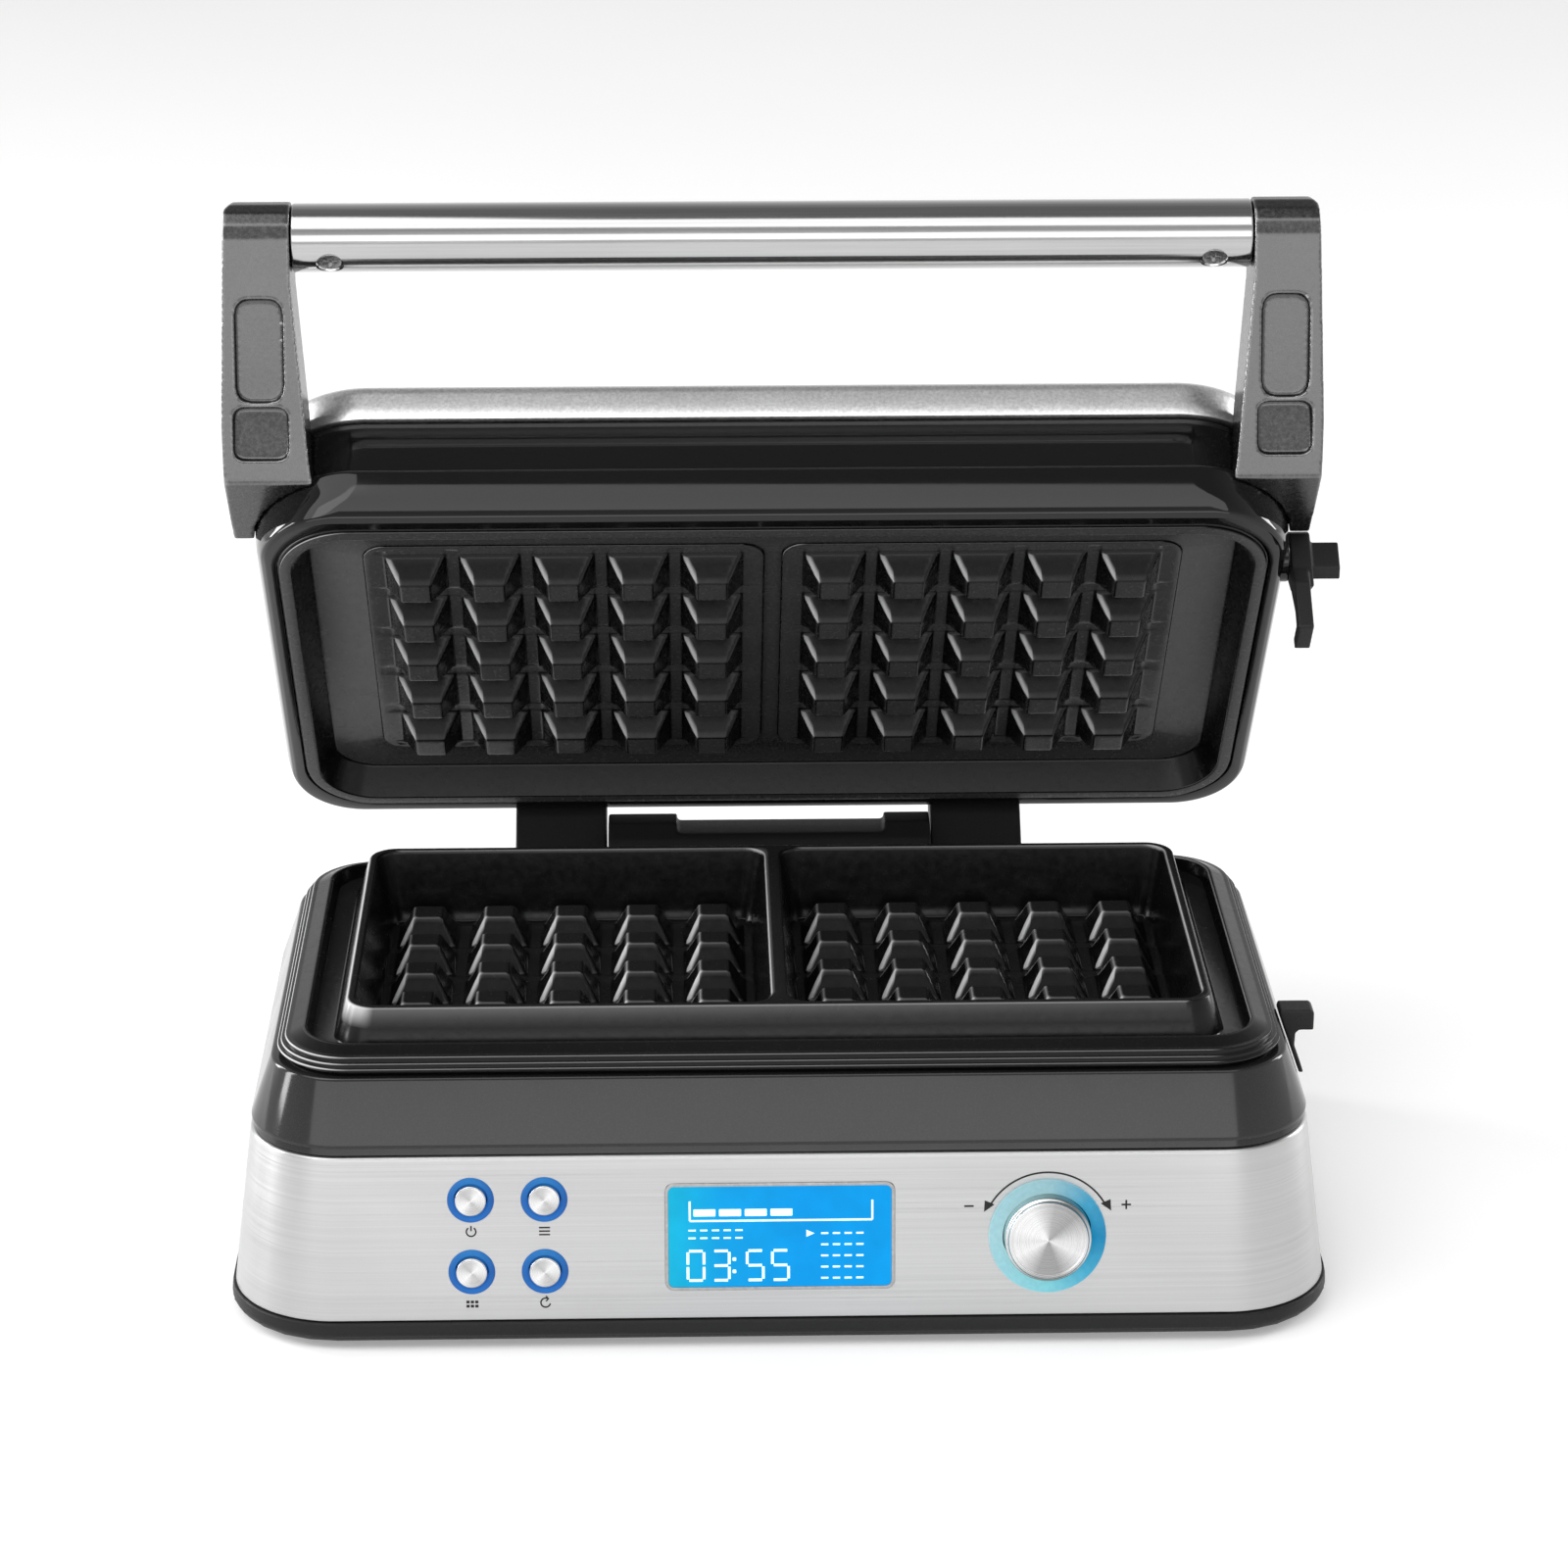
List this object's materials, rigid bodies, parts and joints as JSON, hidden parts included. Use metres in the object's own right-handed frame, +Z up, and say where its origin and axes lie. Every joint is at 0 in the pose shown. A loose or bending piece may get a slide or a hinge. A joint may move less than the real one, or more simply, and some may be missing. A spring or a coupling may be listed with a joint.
{
  "type": "waffle maker",
  "caption": "Countertop waffle maker, hinged lid open, square pegged plates, bar handle, side latch, front panel with screen, round keys and turning knob.",
  "frame": {"origin": "middle of the outer box, on the surface the feet stand on, lid open as pictured", "axes": "+X to the right seen from the control panel, +Y towards the hinge at the back, +Z up"},
  "size_m": [0.314, 0.227, 0.2914],
  "materials": {
    "stainless": "brushed left to right",
    "gloss_black": "high gloss",
    "moulded_black": "fine matt texture",
    "plate_coating": "dark speckled non-stick coating",
    "satin_metal": "satin, slightly grainy",
    "bar_metal": "satin",
    "spun_metal": "spun in fine circles",
    "fixing_steel": "bright",
    "inner_metal": "plain sheet and tube",
    "circuit_board": "lacquered board",
    "screen_face": "backlit, cyan to blue",
    "window_glass": "clear, polished",
    "light_guide": "frosted, lit blue",
    "soft_rubber": "matt"
  },
  "bodies": {
    "base": {"base_shell": "stainless", "base_collar": "gloss_black", "base_tray": "moulded_black", "catch_bracket": "moulded_black", "hinge_block": "moulded_black", "lower_plate": "plate_coating", "hinge_pin": "fixing_steel", "tray_screw_1": "fixing_steel", "tray_screw_2": "fixing_steel", "tray_screw_3": "fixing_steel", "tray_screw_4": "fixing_steel", "lower_heating_element": "inner_metal", "lower_reflector": "inner_metal", "lower_thermostat": "inner_metal", "thermal_fuse": "inner_metal", "knob_encoder": "inner_metal", "power_board": "circuit_board", "control_board": "circuit_board", "display_module": "screen_face", "display_window": "window_glass", "knob_light_ring": "light_guide", "button_light_1": "light_guide", "button_light_2": "light_guide", "button_light_3": "light_guide", "button_light_4": "light_guide", "foot_front_left": "soft_rubber", "foot_front_right": "soft_rubber", "foot_back_left": "soft_rubber", "foot_back_right": "soft_rubber", "cord_gland": "soft_rubber"},
    "lid": {"lid_housing": "gloss_black", "lid_cover": "satin_metal", "upper_plate": "plate_coating", "upper_heating_element": "inner_metal", "upper_reflector": "inner_metal", "upper_thermostat": "inner_metal", "handle_arm_left": "satin_metal", "handle_arm_right": "satin_metal", "handle_tube": "bar_metal", "handle_screw_left": "fixing_steel", "handle_screw_right": "fixing_steel", "hinge_knuckle_left": "moulded_black", "hinge_knuckle_right": "moulded_black", "latch_pin": "fixing_steel"},
    "latch": {"latch_lever": "moulded_black"},
    "knob": {"control_knob": "spun_metal", "knob_shaft": "fixing_steel"},
    "key_1": {"button_1": "spun_metal"},
    "key_2": {"button_2": "spun_metal"},
    "key_3": {"button_3": "spun_metal"},
    "key_4": {"button_4": "spun_metal"}
  },
  "joints": [
    {"name": "lid_hinge", "type": "hinge", "parent": "base", "child": "lid", "pos_m": [-0.0038, 0.07149, 0.0613], "axis": [-1, 0, 0], "range_deg": [-51.5, 38.5]},
    {"name": "latch_hinge", "type": "hinge", "parent": "lid", "child": "latch", "pos_m": [0.1462, 0.00664, 0.18733], "axis": [1, 0, 0], "range_deg": [0, 28]},
    {"name": "knob_turn", "type": "hinge", "parent": "base", "child": "knob", "pos_m": [0.0687, -0.10689, 0.03106], "axis": [0, -0.9899, 0.1417], "continuous": true},
    {"name": "key_1_press", "type": "slide", "parent": "base", "child": "key_1", "axis": [0, 0.9899, -0.1417], "range_m": [0, 0.001], "stiffness_N_per_m": 600, "springref_m": -0.0005},
    {"name": "key_2_press", "type": "slide", "parent": "base", "child": "key_2", "axis": [0, 0.9899, -0.1417], "range_m": [0, 0.001], "stiffness_N_per_m": 600, "springref_m": -0.0005},
    {"name": "key_3_press", "type": "slide", "parent": "base", "child": "key_3", "axis": [0, 0.9899, -0.1417], "range_m": [0, 0.001], "stiffness_N_per_m": 600, "springref_m": -0.0005},
    {"name": "key_4_press", "type": "slide", "parent": "base", "child": "key_4", "axis": [0, 0.9899, -0.1417], "range_m": [0, 0.001], "stiffness_N_per_m": 600, "springref_m": -0.0005}
  ]
}
